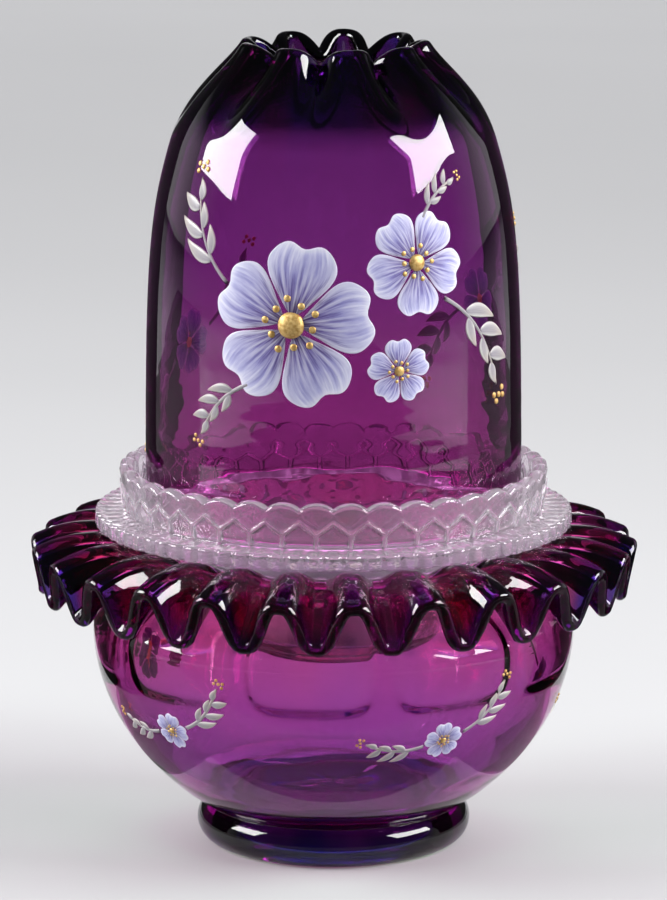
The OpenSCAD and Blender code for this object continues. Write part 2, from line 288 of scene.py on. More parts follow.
def turned(name, rows, looped=False):
    """A closed skin over rings of points.

    A row of one point closes an end, and looped joins the last row to the first.
    """
    rows = [np.atleast_2d(row) for row in rows]
    starts = np.cumsum([0] + [len(row) for row in rows])
    pairs = list(zip(range(len(rows) - 1), range(1, len(rows))))
    if looped:
        pairs.append((len(rows) - 1, 0))
    faces = []
    for a, b in pairs:
        n = max(len(rows[a]), len(rows[b]))
        here = np.arange(n)
        there = (here + 1) % n
        if len(rows[a]) == 1:
            corners = [starts[a] + 0 * here, starts[b] + there, starts[b] + here]
        elif len(rows[b]) == 1:
            corners = [starts[a] + here, starts[a] + there, starts[b] + 0 * here]
        else:
            corners = [starts[a] + here, starts[a] + there, starts[b] + there, starts[b] + here]
        faces += np.stack(corners, 1).tolist()
    mesh = bpy.data.meshes.new(name)
    mesh.from_pydata((np.concatenate(rows) * MM).tolist(), [], faces)
    return new_object(name, mesh)


def rings(angle, outline):
    """A ring of points at each place of an outline; a place on the axis is one point."""
    return [
        np.array([0.0, 0.0, z]) if r < NUDGE else around(angle, r, z)
        for r, z in outline
    ]


def full_turn(count):
    return FRONT + np.arange(count) * 360.0 / count


# Foot ring and the outside of the bowl

foot_mid_z = FOOT_H / 2
foot_round = math.hypot(foot_mid_z, FOOT_FLAT / 2)
foot_mid = (FOOT_R - foot_round, foot_mid_z)
foot_flat_angle = math.degrees(math.asin(FOOT_FLAT / 2 / foot_round))
foot_hollow_angle = math.degrees(math.asin((FOOT_HOLLOW - foot_mid_z) / foot_round))
bowl_start = arc(foot_mid, foot_round, FOOT_TOP_ANGLE, FOOT_TOP_ANGLE, 1)[0]
bowl_outside = [
    bowl_start,
    *((lerp(bowl_start[0], BELLY_R, a), lerp(bowl_start[1], BELLY_Z, b)) for a, b in BOWL_HANDLES),
    (BELLY_R, BELLY_Z),
]
floor_join = wall_side(bowl_outside, FLOOR_JOIN, BOWL_WALL)
floor_run = bezier(bowl_outside, FLOOR_JOIN + NUDGE) - bezier(bowl_outside, FLOOR_JOIN)
floor_r = floor_join[0] - (floor_join[1] - BOWL_FLOOR_Z) * floor_run[0] / floor_run[1]
bowl_floor = [(0, BOWL_FLOOR_Z), (floor_r / 2, BOWL_FLOOR_Z), (floor_r, BOWL_FLOOR_Z), floor_join]
throat_outside = [
    (BELLY_R, BELLY_Z),
    (BELLY_R, lerp(BELLY_Z, THROAT_Z, THROAT_HANDLES[0])),
    (THROAT_R + BOWL_WALL, lerp(BELLY_Z, THROAT_Z, THROAT_HANDLES[1])),
    (THROAT_R + BOWL_WALL, THROAT_Z),
]
throat_inside = [(r - BOWL_WALL, z) for r, z in throat_outside]


def pitch_share(angle, count):
    """Place in a repeat round the axis: 0 in its middle, -0.5 and 0.5 at its ends."""
    return ((angle - FRONT) * count / 360.0 + 0.5) % 1.0 - 0.5


def panels(angle, r, z):
    """Radius of the bowl's inside, which is hollowed a little in each round-cornered panel."""
    across = pitch_share(angle - PANEL_TURN, PANEL_COUNT) / PANEL_SHARE
    up = (z - PANEL_Z) / PANEL_HALF_H
    out = (np.abs(across) ** PANEL_POWER + np.abs(up) ** PANEL_POWER) ** (1 / PANEL_POWER)
    return r + PANEL_DEPTH * (1 - smooth(PANEL_SOFT, 1.0, out))


def make_bowl():
    angle = full_turn(BOWL_ANGLES)
    start = (THROAT_R + BOWL_WALL / 2, THROAT_Z)
    neck = (start[0], THROAT_Z + RUFFLE_NECK)
    crest, valley = [
        [start, neck, (RUFFLE_CROWN_R, THROAT_Z + crown), (RUFFLE_END_R - back, THROAT_Z + end)]
        for crown, end, back in ((*RUFFLE_CREST, 0), (*RUFFLE_VALLEY, RUFFLE_VALLEY_BACK))
    ]
    turn = FRONT + RUFFLE_TURN + 180 / RUFFLE_COUNT
    ruffle = Sheet(valley, crest, RUFFLE_COUNT, turn, square=RUFFLE_SQUARE, uneven=1.0)
    waist = [bezier(bowl_outside, s) for s in (0.0, 0.06)]
    waist_angle = FOOT_TOP_ANGLE - WAIST_TURN
    before_waist = arc(foot_mid, foot_round, waist_angle, 0, 1)[0]
    outline = (
        [(r, FOOT_HOLLOW) for r in HOLLOW_RINGS]
        + arc(foot_mid, foot_round, 180 - foot_hollow_angle, 270 - foot_flat_angle, 12)
        + arc(foot_mid, foot_round, -90 + foot_flat_angle, waist_angle, 16)
        + fillet(before_waist, waist[0], waist[1], WAIST_ROUND)
        + [bezier(bowl_outside, s) for s in np.linspace(0.03, 1, 26)]
        + curve(throat_outside, 12, 1)[:-1]
    )
    rows = rings(angle, outline)
    rows += ruffle.rows(angle, lambda s: lerp(BOWL_WALL, RUFFLE_EDGE, s) / 2, 20, 8)
    walls = [wall_side(bowl_outside, s, BOWL_WALL) for s in np.linspace(1, FLOOR_JOIN, 48)]
    inside = curve(throat_inside, 16)[-2:0:-1] + walls + curve(bowl_floor, 12)[-2::-1]
    for r, z in inside:
        if r < NUDGE:
            rows.append(np.array([0.0, 0.0, z]))
        else:
            rows.append(around(angle, panels(angle, r, z), z))
    return turned("glass_bowl", rows)


# Insert

def bump(distance, half_width):
    """A smooth rib: 1 on its line, 0 from half_width away."""
    return np.where(np.abs(distance) < half_width, cosd(90 * distance / half_width) ** 2, 0.0)


def rib(distance, half_width):
    """A flat-topped rib with steep sides: 1 along its line, 0 from half_width away."""
    return 1 - smooth(0.4 * half_width, half_width, np.abs(distance))


def collar_top(angle):
    """Height of the scalloped top, which has its notches over the arches' points."""
    span = 2 * math.pi * (COLLAR_R + COLLAR_LEAN) / ARCH_COUNT
    scallop_r = (span**2 / 4 + SCALLOP_DEPTH**2) / (2 * SCALLOP_DEPTH)
    off = (0.5 - np.abs(pitch_share(angle, ARCH_COUNT))) * span
    return FLANGE_Z + COLLAR_H - scallop_r + np.sqrt(scallop_r**2 - off**2)


def arch_relief(angle, height):
    """How far the arches' ribs stand out of the collar."""
    span = 2 * math.pi * COLLAR_R / ARCH_COUNT
    across = pitch_share(angle, ARCH_COUNT) * span
    spring = ARCH_H - ARCH_POINT
    side = rib(span / 2 - np.abs(across), 0.9 * ARCH_RIB)
    side = side * (1 - smooth(spring - 0.4, spring + 0.8, height))
    slope = math.hypot(ARCH_POINT, span / 2)
    over = (height - ARCH_H + 2 * ARCH_POINT * np.abs(across) / span) * (span / 2) / slope
    point = rib(over + ARCH_RIB / 2, 0.7 * ARCH_RIB)
    return ARCH_RELIEF * np.maximum(side, point)


def make_insert():
    angle = full_turn(INSERT_ANGLES)
    well_out = WELL_R + WELL_WALL
    bottom = WELL_Z - WELL_WALL
    flute = bump(pitch_share(angle, FLUTE_COUNT), FLUTE_HALF)
    notch = bump(0.5 - np.abs(pitch_share(angle, TOOTH_COUNT)), NOTCH_HALF)
    tooth = FLANGE_R - TOOTH_DEPTH * notch
    cone_low = (well_out + WELL_DRAFT, WELL_MOUTH_Z - WELL_WALL)
    cone_high = (SKIRT_R - FLUTE_DEPTH, SKIRT_Z)
    outline = (
        [(0, bottom), (well_out * 0.5, bottom)]
        + arc((well_out - WELL_WALL, bottom + WELL_WALL), WELL_WALL, -90, 0, 6)
        + fillet((well_out, bottom + WELL_WALL), cone_low, cone_high, 2.0)
        + line(cone_low, cone_high, 4)[1:]
        + [cone_high]
    )
    rows = rings(angle, outline)
    for s in (0.12, 0.3, 0.6, 0.9, 1.0):
        deep = FLUTE_DEPTH * flute * min(1.0, 4 * (1 - s))
        rows.append(around(angle, SKIRT_R - deep, lerp(SKIRT_Z, SEAT_Z, s)))
    edge = FLANGE_ROUND
    reach = tooth - edge
    rows += [around(angle, lerp(SKIRT_R, reach, s), SEAT_Z) for s in (0.08, 0.5, 0.92, 1.0)]
    for a in (-60, -30, 0):
        rows.append(around(angle, reach + edge * cosd(a), SEAT_Z + edge + edge * sind(a)))
    rows.append(around(angle, tooth, (SEAT_Z + FLANGE_Z) / 2))
    for a in (0, 30, 60):
        rows.append(around(angle, reach + edge * cosd(a), FLANGE_Z - edge + edge * sind(a)))
    groove = FLANGE_DIP * notch
    for s in (0.0, 0.08, 0.3, 0.6, 0.85, 0.97):
        dip = groove * smooth(0.0, 0.1, s) * (1 - smooth(0.7, 0.95, s))
        rows.append(around(angle, lerp(reach, COLLAR_R, s), FLANGE_Z - dip))
    top = collar_top(angle)
    shoulder = top - COLLAR_ROUND
    for s in np.linspace(0, 1, 30):
        z = lerp(FLANGE_Z + 0.05, shoulder, s)
        height = z - FLANGE_Z
        r = COLLAR_R + COLLAR_LEAN * height / COLLAR_H + arch_relief(angle, height)
        rows.append(around(angle, r, z))
    lean = COLLAR_LEAN * (shoulder - FLANGE_Z) / COLLAR_H
    half = (COLLAR_R - COLLAR_IN_R) / 2
    mid = COLLAR_IN_R + half + lean
    for a in np.linspace(20, 160, 8):
        rows.append(around(angle, mid + half * cosd(a), shoulder + COLLAR_ROUND * sind(a)))
    for s in (0.0, 0.3, 0.6, 0.85, 0.97):
        z = lerp(shoulder, FLANGE_Z, s)
        rows.append(around(angle, COLLAR_IN_R + COLLAR_LEAN * (z - FLANGE_Z) / COLLAR_H, z))
    funnel = [
        (LEDGE_IN_R, FLANGE_Z),
        (lerp(LEDGE_IN_R, WELL_R, 0.25), lerp(FLANGE_Z, WELL_MOUTH_Z, 0.65)),
        (lerp(LEDGE_IN_R, WELL_R, 0.8), lerp(FLANGE_Z, WELL_MOUTH_Z, 0.65)),
        (WELL_R + WELL_DRAFT, WELL_MOUTH_Z),
    ]
    ledge = [(COLLAR_IN_R - 0.15, FLANGE_Z), (LEDGE_IN_R + 0.4, FLANGE_Z)]
    mouth = fillet(bezier(funnel, 0.9), funnel[3], (WELL_R, WELL_Z), 0.6)
    floor = fillet((WELL_R + WELL_DRAFT, WELL_MOUTH_Z), (WELL_R, WELL_Z), (0, WELL_Z), 1.0)
    middle = [(WELL_R * 0.5, WELL_Z), (0, WELL_Z)]
    rows += rings(angle, ledge + curve(funnel, 12, 1)[:-1] + mouth + floor + middle)
    return turned("pressed_insert", rows)


# Shade

shade_side = [
    (SHADE_MID_R, SHADE_Z),
    *((lerp(SHADE_MID_R, SHOULDER[0], a), lerp(SHADE_Z, SHOULDER[1], b)) for a, b in SHADE_HANDLES),
    SHOULDER,
]


def make_shade():
    angle = full_turn(SHADE_ANGLES)
    half = SHADE_WALL / 2
    shoulder, turn_in = np.array(SHOULDER), np.array(shade_side[2])
    slope = (shoulder - turn_in) / (shoulder[1] - turn_in[1])
    crest, valley = [
        [
            shoulder, shoulder + slope * CRIMP_H * rise,
            (lerp(SHOULDER[0], end[0], across), lerp(SHOULDER[1], end[1], up)), end,
        ]
        for end, (rise, across, up) in ((MOUTH_END, CREST_HANDLES), (VALLEY_END, VALLEY_HANDLES))
    ]
    crimps = Sheet(valley, crest, CRIMP_COUNT, FRONT + CRIMP_TURN, full=CRIMP_FULL, uneven=1.0)
    foot_z = SHADE_Z + SEAT_GAP
    outer, inner = SHADE_MID_R + half, SHADE_MID_R - half
    foot = (
        fillet((inner, foot_z + 5), (inner, foot_z), (outer, foot_z), 1.0)
        + fillet((inner, foot_z), (outer, foot_z), (outer, foot_z + 5), 1.0)
    )
    steps = [lerp(0.03, 1, i / SIDE_STEPS) for i in range(SIDE_STEPS)]
    outside = [wall_side(shade_side, s, -half) for s in steps]
    inside = [wall_side(shade_side, s, half) for s in reversed(steps)]
    rows = rings(angle, foot + outside)
    rows += crimps.rows(angle, lambda s: half, 30, 10)
    rows += rings(angle, inside)
    return turned("glass_shade", rows, looped=True)


# Tealight

def make_cup():
    angle = full_turn(CANDLE_ANGLES)
    low = WELL_Z + SEAT_GAP
    top = WELL_Z + CUP_H
    flute = CUP_FLUTE_DEPTH * cosd(CUP_FLUTES * (angle - FRONT))
    corner = fillet((0, low), (CUP_R - 0.1, low), (CUP_R, top), 0.8)
    rows = rings(angle, [(0, low), (CUP_R * 0.9, low)] + corner)
    for s in (0.12, 0.2, 0.5, 0.8, 0.9):
        rows.append(around(angle, CUP_R - 0.12 + flute * bump(s - 0.5, 0.45), lerp(low, top, s)))
    bead = CUP_WALL * 0.9
    rim = [
        (CUP_R - bead + bead * cosd(a), top - bead + bead * sind(a))
        for a in (-30, 10, 50, 90, 130, 170)
    ]
    inner_r, floor_z = CUP_R - CUP_WALL - 0.15, low + CUP_WALL
    inside = [(inner_r, top - 2), (inner_r, low + 1), (inner_r - 0.6, floor_z)]
    rows += rings(angle, rim + inside + [(CUP_R * 0.5, floor_z), (0, floor_z)])
    return turned("tealight_cup_skin", rows)


def make_wax():
    """Wax that has melted once: it clings to the cup and climbs the wick."""
    angle = full_turn(CANDLE_ANGLES)
    low = WELL_Z + CUP_WALL + 0.12
    outer = CUP_R - CUP_WALL - 0.2
    side = [(outer - 0.8, low), (outer, low + 0.8), (outer, WAX_TOP_Z - 0.6)]
    rows = rings(angle, [(0, low)] + side)
    for r in np.linspace(outer, 1.2, 14):
        share = r / outer
        ripple = 0.05 * sind(5 * angle + 300 * share) * share * (1 - share)
        cling = 0.5 * smooth(0.9, 1.0, share)
        rise = 0.45 * math.exp(-((r - 1.2) / 1.1) ** 2)
        rows.append(around(angle, r - 0.05, WAX_TOP_Z - WAX_SINK + cling + rise + ripple))
    rows.append(np.array([0.0, 0.0, WAX_TOP_Z - 0.1]))
    return turned("tealight_wax_body", rows)


def make_wick():
    angle = full_turn(WICK_ANGLES)
    low = WAX_TOP_Z - WICK_SUNK
    rows = [np.array([0.0, 0.0, low])]
    for z in np.linspace(low, WICK_TOP_Z - 0.25, 40):
        strands = WICK_STRAND * np.abs(cosd(1.5 * angle + 110 * z))
        taper = 0.12 * smooth(WICK_TOP_Z - 1, WICK_TOP_Z, z)
        rows.append(around(angle, WICK_R + strands - taper, z))
    rows.append(np.array([0.0, 0.0, WICK_TOP_Z - 0.05]))
    return turned("cotton_wick", rows)


# Materials

class Shader:
    """A node material under construction."""

    def __init__(self, name):
        self.material = bpy.data.materials.new(name)
        self.material.use_nodes = True
        self.tree = self.material.node_tree
        self.tree.nodes.clear()
        self.output = self.add("ShaderNodeOutputMaterial")

    def add(self, kind, settings=None, **inputs):
        node = self.tree.nodes.new(kind)
        for key, value in (settings or {}).items():
            setattr(node, key, value)
        for key, value in inputs.items():
            self.feed(node.inputs[key.replace("_", " ")], value)
        return node

    def feed(self, socket, value):
        if isinstance(value, bpy.types.NodeSocket):
            self.tree.links.new(value, socket)
        elif isinstance(value, tuple) and len(value) == 3 and socket.type == "RGBA":
            socket.default_value = (*value, 1)
        else:
            socket.default_value = value

    def math(self, operation, a, b=0.0):
        node = self.add("ShaderNodeMath", {"operation": operation})
        self.feed(node.inputs[0], a)
        self.feed(node.inputs[1], b)
        return node.outputs[0]

    def mix(self, share, a, b, blend="MIX"):
        node = self.add("ShaderNodeMix", {"data_type": "RGBA", "blend_type": blend})
        self.feed(node.inputs[0], share)
        self.feed(node.inputs[6], a)
        self.feed(node.inputs[7], b)
        return node.outputs[2]

    def ramp(self, value, *stops):
        node = self.add("ShaderNodeValToRGB", Fac=value)
        elements = node.color_ramp.elements
        elements.remove(elements[1])
        for i, (place, colour) in enumerate(stops):
            element = elements[0] if i == 0 else elements.new(place)
            element.position = place
            element.color = (*colour, 1)
        return node.outputs[0]

    def range(self, value, low, high):
        node = self.add("ShaderNodeMapRange", Value=value, From_Min=low, From_Max=high)
        return node.outputs[0]

    def place(self, kind="Object"):
        return self.add("ShaderNodeTexCoord").outputs[kind]

    def split(self, vector):
        return self.add("ShaderNodeSeparateXYZ", Vector=vector).outputs

    def stretch(self, vector, scale):
        return self.add("ShaderNodeMapping", Vector=vector, Scale=scale).outputs[0]

    def noise(self, vector, scale, detail):
        node = self.add("ShaderNodeTexNoise", Vector=vector, Scale=scale, Detail=detail)
        return node.outputs["Fac"]

    def bump(self, height, strength, distance):
        node = self.add("ShaderNodeBump", Height=height, Strength=strength, Distance=distance)
        return node.outputs[0]

    def surface(self, shader):
        self.feed(self.output.inputs["Surface"], shader.outputs[0])
        return self.material


GLASS_IOR = 1.5
RIPPLE_TURN = 0.04
RIPPLE_SCALE = 40.0


def height_and_radius(s):
    x, y, z = s.split(s.place())
    return z, s.math("SQRT", s.math("ADD", s.math("MULTIPLY", x, x), s.math("MULTIPLY", y, y)))


def drawn_ripple(s, low, high, up_rate, out_rate):
    """Ripples of hand-worked glass, long round the axis, that fade out from low up to high.

    The rates set how short they are up the wall and how much they differ on its two faces.
    """
    x, y, z = s.split(s.place())
    r = height_and_radius(s)[1]
    up = s.math("ADD", s.math("MULTIPLY", z, up_rate), s.math("MULTIPLY", r, out_rate))
    turn = [s.math("MULTIPLY", s.math("DIVIDE", side, r), RIPPLE_TURN) for side in (x, y)]
    place = s.add("ShaderNodeCombineXYZ", X=turn[0], Y=turn[1], Z=up).outputs[0]
    return s.math("MULTIPLY", s.noise(place, RIPPLE_SCALE, 1.0), s.range(z, high, low))


def finish_glass(s, colour, normal, absorb_colour, absorb_density, shadow, clear=1.0, rough=0.0):
    """Clear to the eye, tinted through its thickness, and open to the lamps' shadow rays."""
    glass = s.add(
        "ShaderNodeBsdfPrincipled",
        Base_Color=colour, Normal=normal, Roughness=rough, IOR=GLASS_IOR, Transmission_Weight=clear,
    )
    through = s.add("ShaderNodeBsdfTransparent", Color=shadow)
    is_shadow = s.add("ShaderNodeLightPath").outputs["Is Shadow Ray"]
    mixed = s.add("ShaderNodeMixShader", Fac=is_shadow)
    s.feed(mixed.inputs[1], glass.outputs[0])
    s.feed(mixed.inputs[2], through.outputs[0])
    volume = s.add("ShaderNodeVolumeAbsorption", Color=absorb_colour, Density=absorb_density)
    s.feed(s.output.inputs["Volume"], volume.outputs[0])
    return s.surface(mixed)


def ridges(s):
    """1 along the crests of the ruffle, 0 on its flanks and in its valleys."""
    x, y, z = s.split(s.place())
    crest = math.radians(FRONT + RUFFLE_TURN + 180 / RUFFLE_COUNT)
    azimuth = s.math("SUBTRACT", s.math("ARCTAN2", y, x), crest)
    turn = s.math("MULTIPLY", azimuth, float(RUFFLE_COUNT))
    return s.range(s.math("COSINE", turn), 0.55, 0.95)


def bowl_glass():
    """Magenta in the upper bowl and violet below, with a burgundy ruffle, a blue edge and foot."""
    s = Shader("mulberry_bowl_glass")
    z, r = height_and_radius(s)
    tint = s.ramp(
        s.range(z, 0.0, 0.075),
        (0.0, (0.01, 0.03, 0.80)), (0.03, (0.01, 0.025, 0.60)), (0.06, (0.01, 0.012, 0.16)),
        (0.09, (0.025, 0.015, 0.12)), (0.12, (0.15, 0.09, 0.27)), (0.17, (0.58, 0.43, 0.70)),
        (0.30, (0.68, 0.55, 0.81)), (0.42, (0.72, 0.52, 0.77)), (0.55, (0.75, 0.42, 0.66)),
        (0.72, (0.83, 0.35, 0.48)), (0.84, (0.76, 0.31, 0.46)), (0.92, (0.61, 0.18, 0.29)),
    )
    flared = s.math("MULTIPLY", s.range(r, 0.046, 0.054), s.range(z, 0.052, 0.056))
    ruffle = s.mix(flared, tint, (0.25, 0.03, 0.05))
    ridged = s.mix(s.math("MULTIPLY", ridges(s), flared), ruffle, (0.06, 0.03, 0.15))
    edged = s.mix(s.range(r, 0.0612, 0.0640), ridged, (0.015, 0.015, 0.20))
    streak = s.noise(s.stretch(s.place(), (60.0, 60.0, 12.0)), 1.0, 2.0)
    colour = s.mix(s.range(streak, 0.35, 0.8), edged, s.mix(0.35, edged, (0.55, 0.45, 0.85)))
    soft = s.math("MULTIPLY", s.noise(s.place(), 45.0, 1.0), 0.5)
    ripple = drawn_ripple(s, low=0.022, high=0.036, up_rate=1.2, out_rate=2.0)
    normal = s.bump(s.math("ADD", soft, ripple), 0.5, 0.0008)
    shadow = s.mix(s.range(z, 0.0095, 0.0130), (0.70, 1.20, 0.78), (0.88, 1.23, 0.94))
    return finish_glass(
        s, colour, normal, absorb_colour=(0.851, 0.149, 0.702), absorb_density=260.0, shadow=shadow,
    )


def shade_glass():
    """Violet glass, pinker where it is thin near the foot, and almost black in its mouth."""
    s = Shader("violet_shade_glass")
    z = height_and_radius(s)[0]
    tint = s.ramp(
        s.range(z, 0.075, 0.178),
        (0.0, (0.72, 0.36, 0.60)), (0.30, (0.70, 0.38, 0.63)), (0.50, (0.67, 0.41, 0.71)),
        (0.80, (0.62, 0.38, 0.67)), (0.83, (0.38, 0.21, 0.43)), (0.855, (0.03, 0.015, 0.05)),
        (1.0, (0.03, 0.015, 0.05)),
    )
    streak = s.noise(s.stretch(s.place(), (90.0, 90.0, 14.0)), 1.0, 2.0)
    blue = s.mix(0.25, tint, (0.06, 0.06, 0.60))
    wine = s.mix(0.25, tint, (0.40, 0.03, 0.16))
    crimped = s.mix(s.range(streak, 0.38, 0.62), blue, wine)
    colour = s.mix(s.math("MULTIPLY", s.range(z, 0.150, 0.172), 0.8), tint, crimped)
    soft = s.math("MULTIPLY", s.noise(s.stretch(s.place(), (1.0, 1.0, 2.2)), 40.0, 1.0), 0.3)
    ripple = drawn_ripple(s, low=0.090, high=0.115, up_rate=4.0, out_rate=10.0)
    normal = s.bump(s.math("ADD", soft, ripple), 0.5, 0.0008)
    return finish_glass(
        s, colour, normal, absorb_colour=(0.677, 0.032, 0.645), absorb_density=300.0,
        shadow=(1.0, 1.33, 1.01),
    )


def clear_glass():
    """Pressed clear glass with a breath of lilac, a faint mould ripple, and duller ribs painted
    whiter as a highlight.
    """
    s = Shader("pressed_clear_glass")
    z, r = height_and_radius(s)
    cloud = s.noise(s.place(), 120.0, 3.0)
    field = s.mix(s.range(cloud, 0.3, 0.75), (0.97, 0.93, 0.97), (0.93, 0.87, 0.93))
    lean = s.math("MULTIPLY", s.math("SUBTRACT", z, FLANGE_Z * MM), COLLAR_LEAN / COLLAR_H)
    upright = s.math("SUBTRACT", r, lean)
    proud = s.range(upright, (COLLAR_R + 0.1) * MM, (COLLAR_R + ARCH_RELIEF) * MM)
    ribs = s.math("MULTIPLY", proud, s.range(z, (FLANGE_Z + 0.2) * MM, (FLANGE_Z + 0.6) * MM))
    # Painted highlight: the ribs are painted white against the lilac field for the light they
    # catch. The same mask also makes them rougher.
    colour = s.mix(ribs, field, (1.0, 1.0, 1.0))
    rough = s.math("MULTIPLY", ribs, 0.35)
    normal = s.bump(s.noise(s.place(), 420.0, 2.0), 0.3, 0.0004)
    return finish_glass(
        s, colour, normal, absorb_colour=(0.62, 0.42, 0.66), absorb_density=6.0,
        shadow=(0.97, 0.96, 0.97), clear=0.90, rough=rough,
    )


def cup_metal():
    s = Shader("tealight_aluminium")
    grain = s.noise(s.stretch(s.place(), (90.0, 90.0, 900.0)), 3.0, 4.0)
    colour = s.mix(grain, (0.70, 0.71, 0.73), (0.86, 0.87, 0.88))
    rough = s.math("MULTIPLY_ADD", grain, 0.2)
    rough.node.inputs[2].default_value = 0.22
    metal = s.add(
        "ShaderNodeBsdfPrincipled",
        Base_Color=colour, Metallic=1.0, Roughness=rough, Normal=s.bump(grain, 0.15, 0.0001),
    )
    return s.surface(metal)


def tab_metal():
    s = Shader("wick_tab_steel")
    grain = s.noise(s.stretch(s.place(), (1600.0, 300.0, 300.0)), 1.0, 3.0)
    colour = s.mix(grain, (0.52, 0.53, 0.55), (0.70, 0.71, 0.72))
    metal = s.add(
        "ShaderNodeBsdfPrincipled", Base_Color=colour, Metallic=1.0,
        Roughness=s.range(grain, -0.6, 1.8), Normal=s.bump(grain, 0.2, 0.0001),
    )
    return s.surface(metal)


def candle_wax():
    s = Shader("candle_wax")
    cloud = s.noise(s.place(), 180.0, 4.0)
    colour = s.mix(cloud, (0.50, 0.46, 0.38), (0.58, 0.54, 0.47))
    wax = s.add(
        "ShaderNodeBsdfPrincipled", Base_Color=colour, Roughness=s.range(cloud, -0.8, 1.6),
        Normal=s.bump(s.noise(s.place(), 700.0, 2.0), 0.15, 0.0002),
        Subsurface_Weight=0.3, Subsurface_Radius=(0.004, 0.003, 0.002),
    )
    return s.surface(wax)


def wick_cotton():
    s = Shader("wick_cotton_braid")
    fibre = s.noise(s.stretch(s.place(), (4000.0, 4000.0, 900.0)), 1.0, 3.0)
    colour = s.mix(fibre, (0.26, 0.23, 0.18), (0.46, 0.43, 0.36))
    cotton = s.add(
        "ShaderNodeBsdfPrincipled", Base_Color=colour, Roughness=0.9,
        Normal=s.bump(fibre, 0.6, 0.0002), Sheen_Weight=0.3,
    )
    return s.surface(cotton)


def brushed(s, fine):
    """Places on a stroke: off its middle line, along it, and in the hairs of the brush."""
    across, along, _ = s.split(s.place("UV"))
    off = s.math("ABSOLUTE", s.math("MULTIPLY", s.math("SUBTRACT", across, 0.5), 2.0))
    return off, along, s.noise(s.stretch(s.place("UV"), (fine, fine / 10, 1.0)), 1.0, 4.0)


def finish_enamel(s, colour, brush):
    paint = s.add(
        "ShaderNodeBsdfPrincipled", Base_Color=colour, Roughness=s.range(brush, -0.6, 1.9),
        Normal=s.bump(brush, 0.35, 0.0003), Coat_Weight=0.25,
    )
    return s.surface(paint)


def petal_enamel():
    """Brushed periwinkle, dark at the flower's throat and white towards the petals' edges."""
    s = Shader("petal_enamel")
    off, along, brush = brushed(s, 16.0)
    body = s.ramp(
        along, (0.0, (0.04, 0.015, 0.10)), (0.25, (0.12, 0.09, 0.31)), (0.55, (0.24, 0.23, 0.51)),
        (0.85, (0.40, 0.40, 0.66)), (1.0, (0.62, 0.62, 0.80)),
    )
    streaked = s.mix(s.range(brush, 0.42, 0.72), body, s.mix(0.55, body, (0.90, 0.90, 0.96)))
    white = s.math("MAXIMUM", s.range(off, 0.62, 1.0), s.range(along, 0.88, 1.04))
    colour = s.mix(s.math("MULTIPLY", white, 0.6), streaked, (0.80, 0.80, 0.88))
    vein = s.range(s.math("MULTIPLY", s.math("ADD", off, along), brush), 0.16, 0.06)
    hair = s.math("MULTIPLY", s.range(brush, 0.44, 0.34), s.range(along, 0.85, 0.25))
    dark = s.math("MULTIPLY", s.math("MAXIMUM", vein, hair), 0.8)
    return finish_enamel(s, s.mix(dark, colour, (0.05, 0.02, 0.10)), brush)


def leaf_enamel():
    """Thin grey-green and cream strokes, paler at the edges."""
    s = Shader("leaf_enamel")
    off, along, brush = brushed(s, 14.0)
    body = s.ramp(
        along, (0.0, (0.30, 0.29, 0.33)), (0.5, (0.40, 0.39, 0.38)), (1.0, (0.66, 0.58, 0.44)),
    )
    middle = s.mix(brush, body, (0.22, 0.19, 0.23))
    return finish_enamel(s, s.mix(s.range(off, 0.4, 1.1), middle, (0.70, 0.68, 0.64)), brush)


def gilt():
    """Dots of gold paint, browner where it lies thin."""
    s = Shader("gilt_enamel")
    fleck = s.noise(s.place(), 1500.0, 3.0)
    colour = s.mix(s.range(fleck, 0.3, 0.7), (0.56, 0.30, 0.07), (0.90, 0.66, 0.27))
    paint = s.add(
        "ShaderNodeBsdfPrincipled", Base_Color=colour, Metallic=0.55,
        Roughness=s.range(fleck, -0.5, 1.6), Normal=s.bump(fleck, 0.3, 0.0002),
    )
    return s.surface(paint)


# Enamel

class Skin:
    """The outside of a turned piece, to lay enamel on.

    Places on it are millimetres across and up from a spot.
    """

    def __init__(self, profile):
        self.profile = np.array(profile)
        steps = np.hypot(*np.diff(self.profile, axis=0).T)
        self.along = np.concatenate([[0], np.cumsum(steps)])
        self.slope = unit(np.gradient(self.profile, axis=0))

    def spot(self, azimuth, z):
        start = np.interp(z, self.profile[:, 1], self.along)
        return FRONT + azimuth, start, np.interp(start, self.along, self.profile[:, 0])

    def points(self, spot, u, v, lift):
        azimuth, start, spot_r = spot
        r, z, dr, dz = (
            np.interp(start + v, self.along, column)
            for column in (*self.profile.T, *self.slope.T)
        )
        return around(azimuth + np.degrees(u / spot_r), r + lift * dz, z - lift * dr)


def disc(count):
    """A square grid drawn in to a disc: places on the square, then on the disc, from -1 to 1."""
    steps = sind(np.linspace(-90, 90, count))
    x, y = np.meshgrid(steps, steps, indexing="ij")
    return x, y, x * np.sqrt(1 - y**2 / 2), y * np.sqrt(1 - x**2 / 2)


